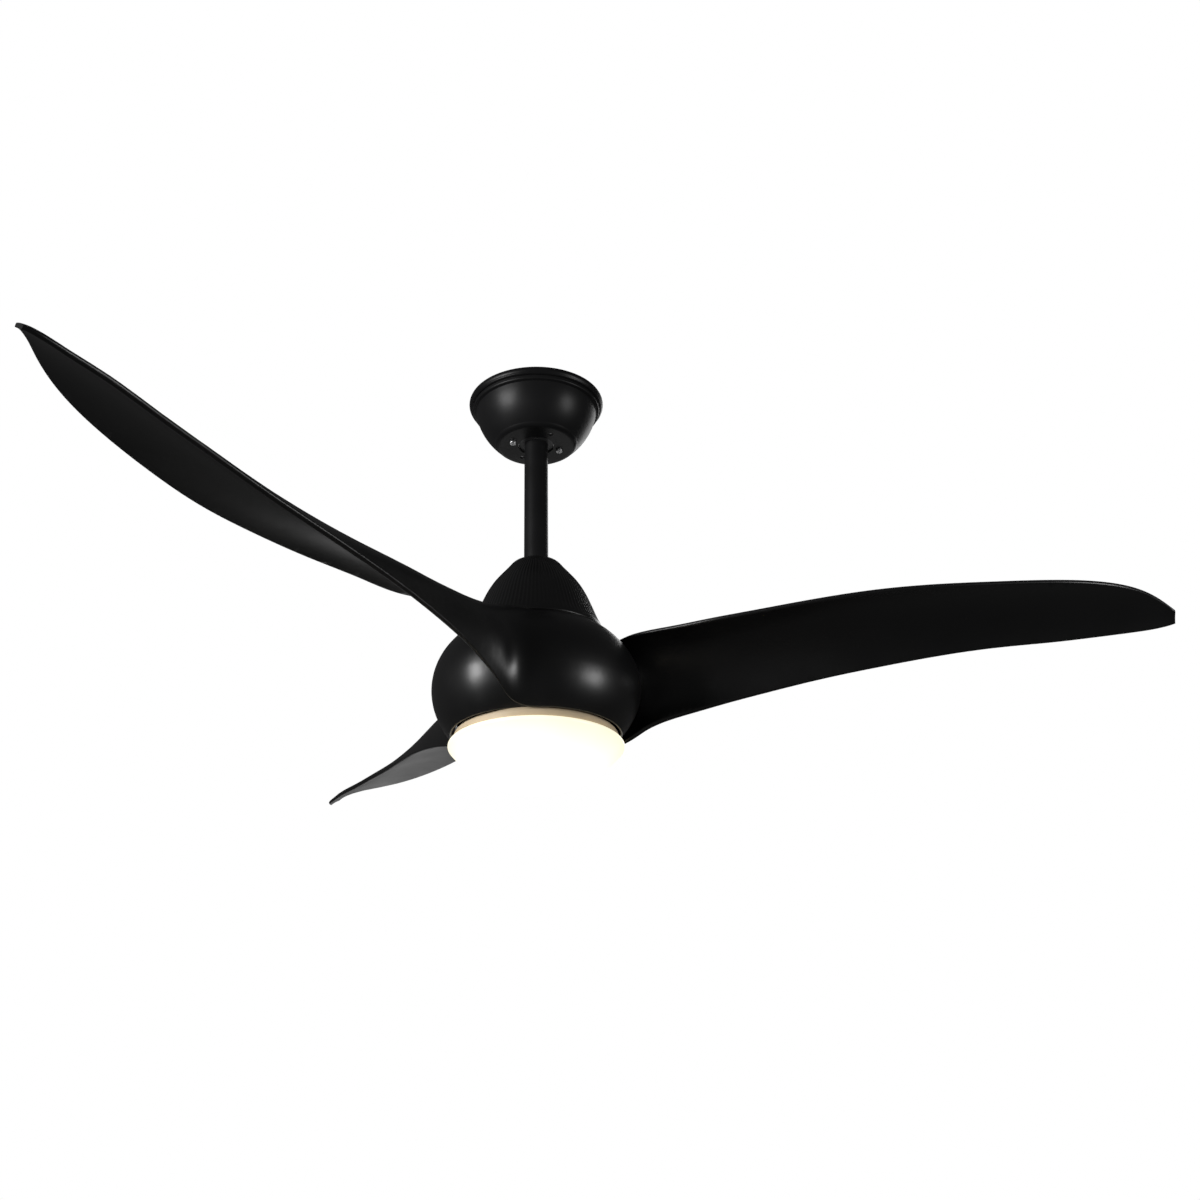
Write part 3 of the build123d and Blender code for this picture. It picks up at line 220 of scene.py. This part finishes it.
DOME_GLOW = 1.0
GLOW_BOTTOM = (1.0, 0.99, 0.93)
GLOW_SHOULDER = (0.90, 0.83, 0.60)


def opal(name):
    """A lit opal diffuser, a little warmer and dimmer at its shoulder than over its bottom."""
    m = Recipe(name)
    m.set(Metallic=0.0, Emission_Strength=DOME_GLOW)
    low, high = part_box("light_dome")
    split = m.node("ShaderNodeSeparateXYZ")
    m.link(m.coords, split.inputs["Vector"])
    height = m.span(split.outputs["Z"], 0, 1, start=low.z, end=high.z)
    unevenness = m.span(m.noise(scale=30, detail=3), -0.03, 0.03)
    soft = m.node("ShaderNodeMath", operation="ADD")
    m.link(height, soft.inputs[0])
    m.link(unevenness, soft.inputs[1])
    glow = m.tones(soft.outputs["Value"], GLOW_BOTTOM, GLOW_SHOULDER, start=0.35, end=0.95)
    m.feed(glow, "Emission Color")
    m.feed(m.tones(m.noise(scale=20, detail=3), (0.55, 0.53, 0.47), (0.60, 0.58, 0.52)), "Base Color")
    m.feed(m.span(m.noise(scale=25, detail=4), 0.28, 0.36), "Roughness")
    m.bump(m.noise(scale=500, detail=2), strength=0.05, distance=0.0001)
    return m.material


def glowing(name, colour, strength):
    """A lit phosphor chip."""
    m = Recipe(name)
    m.set(Emission_Strength=strength)
    phosphor = m.tones(m.noise(scale=300, detail=2), shade(colour, 0.8), colour)
    m.feed(phosphor, "Base Color")
    m.feed(phosphor, "Emission Color")
    m.feed(m.span(m.noise(scale=200, detail=2), 0.3, 0.4), "Roughness")
    return m.material


def studio_paint(name):
    """The floor's pale matt paint, which also shines a little by itself."""
    m = Recipe(name)
    m.set(Specular_IOR_Level=0.2, Emission_Strength=0.75)
    m.feed(m.tones(m.noise(scale=0.7, detail=2), (0.86, 0.86, 0.86), (0.90, 0.90, 0.90)), "Base Color")
    m.feed(m.span(m.noise(scale=3, detail=3), 0.75, 0.85), "Roughness")
    return m.material


# ------------------------------------------------------------------ a material for each slot
EVEN_GRAIN = (1, 1, 1)          # cast or pressed: no direction
TURNED_LINES = (1, 1, 30)
LAMINATIONS = (0.2, 0.2, 60)    # thin sheets stacked along the shaft
MATERIALS = {
    "black_metal": powder_coat("black_metal", (0.009, 0.009, 0.0095), 0.40, shine=0.22),
    "black_trim": powder_coat("black_trim", (0.007, 0.007, 0.0075), 0.36, shine=0.22),
    "black_plastic": moulded("black_plastic", (0.006, 0.006, 0.0063), 0.33),
    "zinc": bare_metal("zinc", (0.72, 0.72, 0.73), 0.30),
    "bare_steel": bare_metal("bare_steel", (0.55, 0.55, 0.57), 0.34),
    "spring_steel": bare_metal("spring_steel", (0.42, 0.33, 0.25), 0.35),
    "bearing_steel": bare_metal("bearing_steel", (0.78, 0.78, 0.80), 0.15, TURNED_LINES, 40, 0.00003),
    "cage_brass": bare_metal("cage_brass", (0.72, 0.52, 0.22), 0.32),
    "cast_aluminium": bare_metal("cast_aluminium", (0.62, 0.62, 0.64), 0.45, EVEN_GRAIN, 220, 0.0002),
    "iron_core": bare_metal("iron_core", (0.26, 0.26, 0.28), 0.45, LAMINATIONS, 30, 0.0002),
    "magnet": bare_metal("magnet", (0.16, 0.16, 0.17), 0.55, EVEN_GRAIN, 400, 0.0001),
    "copper_wire": wound_wire("copper_wire", (0.72, 0.30, 0.12)),
    "nylon": moulded("nylon", (0.05, 0.05, 0.052), 0.42),
    "white_plastic": moulded("white_plastic", (0.80, 0.80, 0.78), 0.40),
    # painted light: this paint is white; its warm tan colour here stands in for the dome's warm glow
    # falling on it
    "white_paint": powder_coat("white_paint", (0.72, 0.58, 0.40), 0.42),
    "cable": moulded("cable", (0.03, 0.03, 0.03), 0.5, grain=800, depth=0.0002),
    "circuit": board("circuit", (0.02, 0.16, 0.06), (0.25, 0.32, 0.10)),
    "white_circuit": board("white_circuit", (0.85, 0.85, 0.84), (0.62, 0.62, 0.60)),
    "led": glowing("led", (1.0, 0.86, 0.5), strength=4.0),
    "opal": opal("opal"),
}

for subpart in frame["record"]["subparts"]:
    part = NODES[subpart["node"]]
    part.data.materials.clear()
    part.data.materials.append(MATERIALS[subpart["material_slot"]])


def link_mesh(name, vertices, faces, material):
    """A smooth-shaded piece in the scene, from its points and faces."""
    mesh = bpy.data.meshes.new(name)
    mesh.from_pydata(vertices, [], faces)
    mesh.update()
    mesh.materials.append(material)
    for face in mesh.polygons:
        face.use_smooth = True
    piece = bpy.data.objects.new(name, mesh)
    scene.collection.objects.link(piece)
    return piece


# ------------------------------------------------------------------ ribbed cone
# The cone's side carries fine upright ribs that fade out at its top and stop at a smooth bead.
RIBS = 96
RIB_DEPTH = 0.00045
VALLEY_POWER = 0.7              # below 1, so the valleys are wide and the ribs' crests narrow
STEPS_PER_RIB = 8
CONE_RINGS = 46
RIB_FADE_TOP = 0.010            # height over which the ribs grow, down from the cone's top
RIB_FADE_BEAD = 0.0015          # height over which they end, down to the bead
BEAD_HEIGHT = 0.0065
BEAD_DEPTH = 0.0004
HOLE_GAP = 0.0006               # round the downrod
HOLE_DEPTH = 0.0025
HOLE_ROUND = 0.0004             # the eased edge between the hole and the cone's top
# the bottom edge and the inside wall, each as (distance in from the lip, height above it)
LIP_AND_INSIDE = ((0.0012, 0), (0.0025, 0.0003), (0.0040, 0.006), (0.0150, 0.030))
SAME_RADIUS = 1e-6
SAME_HEIGHT = 1e-9


def outside_line(node):
    """(radius, height) of a turned node's outside, from its top down, where it has points."""
    outer = {}
    for vertex in NODES[node].data.vertices:
        height = round(vertex.co.z, 5)
        outer[height] = max(outer.get(height, 0), math.hypot(vertex.co.x, vertex.co.y))
    # the outside widens downwards, so a height with a smaller radius has points on the inside only
    line = []
    for height in sorted(outer, reverse=True):
        if not line or outer[height] > line[-1][0] + SAME_RADIUS:
            line.append((outer[height], height))
    return line


def even_outline(line, count):
    """The same line, as points at even steps of height."""
    top = line[0][1]
    bottom = line[-1][1]
    outline = []
    for step in range(count + 1):
        height = top + (bottom - top) * step / count
        above = max((p for p in line if p[1] >= height - SAME_HEIGHT), key=lambda p: -p[1])
        below = min((p for p in line if p[1] <= height + SAME_HEIGHT), key=lambda p: -p[1])
        gap = above[1] - below[1]
        share = (above[1] - height) / gap if gap > SAME_HEIGHT else 0
        outline.append((above[0] + (below[0] - above[0]) * share, height))
    return outline


def cone_rings():
    """(radius, height, share of the ribs' depth) from the hole, down the outside and up the inside."""
    outline = even_outline(outside_line("cone_cover"), CONE_RINGS)
    top = outline[0][1]
    lip, bottom = outline[-1]
    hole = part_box("downrod")[1].x + HOLE_GAP
    rings = [
        (hole, top - HOLE_DEPTH, 0),
        (hole, top - HOLE_ROUND, 0),
        (hole + HOLE_ROUND, top, 0),
    ]
    for radius, height in outline:
        above_bead = height - bottom - BEAD_HEIGHT
        grown = min(1, max(0, (top - height) / RIB_FADE_TOP))
        ended = min(1, max(0, above_bead / RIB_FADE_BEAD))
        bead = 0.0
        if above_bead < 0:
            bead = BEAD_DEPTH * math.sin(math.pi * -above_bead / BEAD_HEIGHT) - BEAD_DEPTH
        rings.append((radius + bead, height, grown * ended))
    for inward, upward in LIP_AND_INSIDE:
        rings.append((lip - inward, bottom + upward, 0))
    return rings


def ribbed_cone():
    """The cone cover with its ribs, from the rod's hole to a little way up the inside wall."""
    around = RIBS * STEPS_PER_RIB
    rings = cone_rings()
    vertices = []
    for radius, height, share in rings:
        for step in range(around):
            turn = 2 * math.pi * step / around
            valley = 0.5 - 0.5 * math.cos(RIBS * turn)
            reach = radius - RIB_DEPTH * share * valley ** VALLEY_POWER
            vertices.append((reach * math.cos(turn), reach * math.sin(turn), height))
    faces = []
    for ring in range(len(rings) - 1):
        here = ring * around
        following = here + around
        for step in range(around):
            after = (step + 1) % around
            faces.append((here + step, following + step, following + after, here + after))
    return link_mesh("cone_ribbed", vertices, faces, MATERIALS["black_plastic"])


cone = ribbed_cone()
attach(cone, "hanging")
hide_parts("cone_cover")

# ------------------------------------------------------------------ floor
FLOOR_Z = -2.45
FLOOR_R = 30.0
FLOOR_SIDES = 64


def floor():
    """A pale floor, far below the fan."""
    vertices = [(0, 0, FLOOR_Z)]
    for step in range(FLOOR_SIDES):
        turn = 2 * math.pi * step / FLOOR_SIDES
        vertices.append((FLOOR_R * math.cos(turn), FLOOR_R * math.sin(turn), FLOOR_Z))
    faces = [(0, 1 + step, 1 + (step + 1) % FLOOR_SIDES) for step in range(FLOOR_SIDES)]
    piece = link_mesh("studio_floor", vertices, faces, studio_paint("studio_paint"))
    # like the surround, the floor is bright to the camera and doesn't flood the fan from below
    piece.visible_diffuse = False
    piece.visible_glossy = False
    return piece


floor()

# ------------------------------------------------------------------ light
# Places are in metres from the ceiling point over the fan: x to the right, y away from the camera.
FAN_MIDDLE = (0, 0, -0.30)
BACK_BLADE = (-0.20, 0.28, -0.33)
AMBIENT = 0.05
DOME_LIGHT_POWER = 0.5
DOME_LIGHT_COLOUR = (1.0, 0.90, 0.72)
DOME_LIGHT_SIZE = 0.05
DOME_LIGHT_DROP = 0.06          # below the dome's bottom


def place_lamp(name, data, place):
    """A lamp in the scene, which lights the fan and isn't seen itself."""
    lamp = bpy.data.objects.new(name, data)
    lamp.location = place
    lamp.visible_camera = False
    scene.collection.objects.link(lamp)
    return lamp


def soft_box(name, place, size, power, aim=FAN_MIDDLE):
    """A rectangular studio light, turned to where it aims."""
    data = bpy.data.lights.new(name, "AREA")
    data.shape = "RECTANGLE"
    data.size, data.size_y = size
    data.energy = power
    lamp = place_lamp(name, data, place)
    lamp.rotation_euler = (Vector(aim) - Vector(place)).to_track_quat("-Z", "Y").to_euler()


def dome_glow():
    """The warm light that the lit dome throws on what is around it."""
    data = bpy.data.lights.new("dome_glow", "POINT")
    data.energy = DOME_LIGHT_POWER
    data.color = DOME_LIGHT_COLOUR
    data.shadow_soft_size = DOME_LIGHT_SIZE
    place_lamp("dome_glow", data, (0, 0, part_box("light_dome")[0].z - DOME_LIGHT_DROP))


def studio_surround():
    """A white surround that the camera sees, and of which only a little reaches the black fan."""
    world = bpy.data.worlds.new("studio")
    world.use_nodes = True
    tree = world.node_tree
    sky = tree.nodes["Background"]
    sky.inputs["Color"].default_value = (1, 1, 1, 1)
    path = tree.nodes.new("ShaderNodeLightPath")
    level = tree.nodes.new("ShaderNodeMapRange")
    level.inputs["To Min"].default_value = AMBIENT
    level.inputs["To Max"].default_value = 1.0
    tree.links.new(path.outputs["Is Camera Ray"], level.inputs["Value"])
    tree.links.new(level.outputs["Result"], sky.inputs["Strength"])
    return world


soft_box("key_left", (-1.66, -1.16, -0.27), size=(0.85, 0.80), power=36)
soft_box("key_right", (1.82, -0.96, -0.56), size=(0.60, 0.60), power=12)
soft_box("back_low", (-0.10, 2.10, -0.72), size=(1.5, 1.1), power=3, aim=BACK_BLADE)
soft_box("back_fill", (1.10, 1.90, 0.55), size=(1.2, 1.2), power=9)
dome_glow()
scene.world = studio_surround()
scene.view_settings.view_transform = "Standard"
scene.view_settings.look = "None"
scene.view_settings.exposure = 0.0
